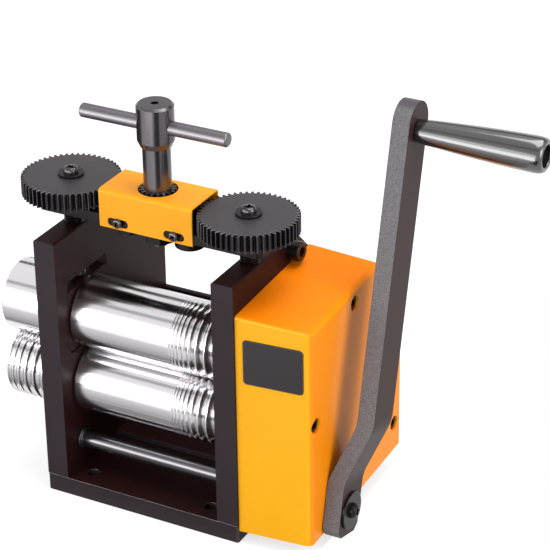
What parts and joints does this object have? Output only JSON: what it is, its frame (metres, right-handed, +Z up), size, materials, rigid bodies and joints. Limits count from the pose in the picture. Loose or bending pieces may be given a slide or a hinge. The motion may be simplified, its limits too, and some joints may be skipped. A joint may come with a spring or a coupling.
{
  "type": "jewellers rolling mill",
  "caption": "Hand cranked bench rolling mill with flat and wire-grooved rolls between side plates, a geared screw-down with T-handle, an enclosed gear case and a long crank.",
  "frame": {"origin": "centre of the base plate's underside", "axes": "+X along the rolls towards the crank, +Y to the back where the bent back plate stands, +Z up"},
  "size_m": [0.3327, 0.1308, 0.2769],
  "materials": {
    "frame_black": "satin black paint with a fine grain",
    "housing_orange": "glossy orange enamel",
    "roll_steel": "ground and polished hardened steel",
    "dark_steel": "blackened machined steel",
    "gear_steel": "oiled dark gear steel",
    "bright_steel": "plain machined steel",
    "bronze": "bearing bronze",
    "spring_steel": "oiled spring wire",
    "crank_paint": "hammered grey black paint",
    "grip_black": "glossy black plastic"
  },
  "bodies": {
    "frame": {"base_plate": "frame_black", "side_plate_left": "frame_black", "side_plate_right": "frame_black", "back_angle": "frame_black", "frame_screws": "dark_steel", "foot_screws": "dark_steel", "front_tie_rod": "frame_black", "rear_tie_rod": "frame_black", "tie_rod_screws": "dark_steel", "lower_bushes": "bronze", "plate_bushes": "bronze", "wall_bushes": "bronze", "housing": "housing_orange", "housing_screws": "dark_steel", "lift_springs": "spring_steel"},
    "screw_carriage": {"bridge_bar": "dark_steel", "gear_cover": "housing_orange", "cover_screws": "dark_steel", "idler_pins": "bright_steel", "idler_spacers": "bright_steel", "idler_nut_left": "dark_steel", "idler_nut_right": "dark_steel", "bearing_block_left": "dark_steel", "bearing_block_right": "dark_steel", "upper_bushes": "bronze"},
    "t_handle": {"handle_shaft": "dark_steel", "handle_bar": "dark_steel", "handle_washer": "dark_steel", "handle_nut": "dark_steel"},
    "left_screw": {"adjusting_screw_left": "bright_steel", "screw_gear_left": "gear_steel", "gear_washer_left": "dark_steel", "gear_screw_left": "dark_steel"},
    "right_screw": {"adjusting_screw_right": "bright_steel", "screw_gear_right": "gear_steel", "gear_washer_right": "dark_steel", "gear_screw_right": "dark_steel"},
    "left_idler": {"idler_gear_left": "gear_steel"},
    "right_idler": {"idler_gear_right": "gear_steel"},
    "lower_roll_set": {"lower_roll": "roll_steel", "lower_ring": "roll_steel", "lower_roll_gear": "gear_steel", "lower_end_washers": "dark_steel", "lower_end_screws": "dark_steel"},
    "upper_roll_set": {"upper_roll": "roll_steel", "upper_ring": "roll_steel", "upper_roll_gear": "gear_steel", "upper_end_washers": "dark_steel", "upper_end_screws": "dark_steel"},
    "countershaft": {"counter_shaft": "bright_steel", "counter_pinion": "gear_steel", "counter_gear": "gear_steel"},
    "crank": {"crank_shaft": "bright_steel", "crank_pinion": "gear_steel", "crank_arm": "crank_paint", "crank_washer": "dark_steel", "crank_screw": "dark_steel", "handle_spindle": "bright_steel"},
    "turning_grip": {"handle_grip": "grip_black"}
  },
  "joints": [
    {"name": "carriage_slide", "type": "slide", "parent": "frame", "child": "screw_carriage", "axis": [0, 0, 1], "range_m": [0, 0.0065], "stiffness_N_per_m": 500, "springref_m": 0.07827, "deforming": ["lift_springs"]},
    {"name": "handle_turn", "type": "hinge", "parent": "screw_carriage", "child": "t_handle", "pos_m": [0, -0.03, 0.2], "axis": [0, 0, 1], "range_deg": [0, 3863.4]},
    {"name": "left_screw_turn", "type": "hinge", "parent": "screw_carriage", "child": "left_screw", "pos_m": [-0.0625, -0.03, 0.2], "axis": [0, 0, 1], "range_deg": [0, 1337.6]},
    {"name": "right_screw_turn", "type": "hinge", "parent": "screw_carriage", "child": "right_screw", "pos_m": [0.0625, -0.03, 0.2], "axis": [0, 0, 1], "range_deg": [0, 1337.6]},
    {"name": "left_idler_turn", "type": "hinge", "parent": "screw_carriage", "child": "left_idler", "pos_m": [-0.02141, -0.03, 0.206], "axis": [0, 0, 1], "range_deg": [-3660, 0]},
    {"name": "right_idler_turn", "type": "hinge", "parent": "screw_carriage", "child": "right_idler", "pos_m": [0.02141, -0.03, 0.206], "axis": [0, 0, 1], "range_deg": [-3660, 0]},
    {"name": "lower_roll_turn", "type": "hinge", "parent": "frame", "child": "lower_roll_set", "pos_m": [0, -0.03, 0.0713], "axis": [1, 0, 0], "continuous": true},
    {"name": "upper_roll_turn", "type": "hinge", "parent": "screw_carriage", "child": "upper_roll_set", "pos_m": [0, -0.03, 0.1187], "axis": [1, 0, 0], "continuous": true},
    {"name": "countershaft_turn", "type": "hinge", "parent": "frame", "child": "countershaft", "pos_m": [0.09, 0.00719, 0.04191], "axis": [1, 0, 0], "continuous": true},
    {"name": "crank_turn", "type": "hinge", "parent": "frame", "child": "crank", "pos_m": [0.12, -0.03, 0.0224], "axis": [1, 0, 0], "continuous": true},
    {"name": "grip_turn", "type": "hinge", "parent": "crank", "child": "turning_grip", "pos_m": [0.18, 0.02813, 0.25906], "axis": [1, 0, 0], "continuous": true}
  ],
  "couplings": [
    {"joint": "handle_turn", "follows": "carriage_slide", "rad_per_m": 10372},
    {"joint": "left_screw_turn", "follows": "carriage_slide", "rad_per_m": 3590.4},
    {"joint": "right_screw_turn", "follows": "carriage_slide", "rad_per_m": 3590.4},
    {"joint": "left_idler_turn", "follows": "carriage_slide", "rad_per_m": -9826.3},
    {"joint": "right_idler_turn", "follows": "carriage_slide", "rad_per_m": -9826.3},
    {"joint": "upper_roll_turn", "follows": "lower_roll_turn", "ratio": -1},
    {"joint": "countershaft_turn", "follows": "lower_roll_turn", "ratio": -1},
    {"joint": "crank_turn", "follows": "lower_roll_turn", "ratio": 2.5}
  ]
}
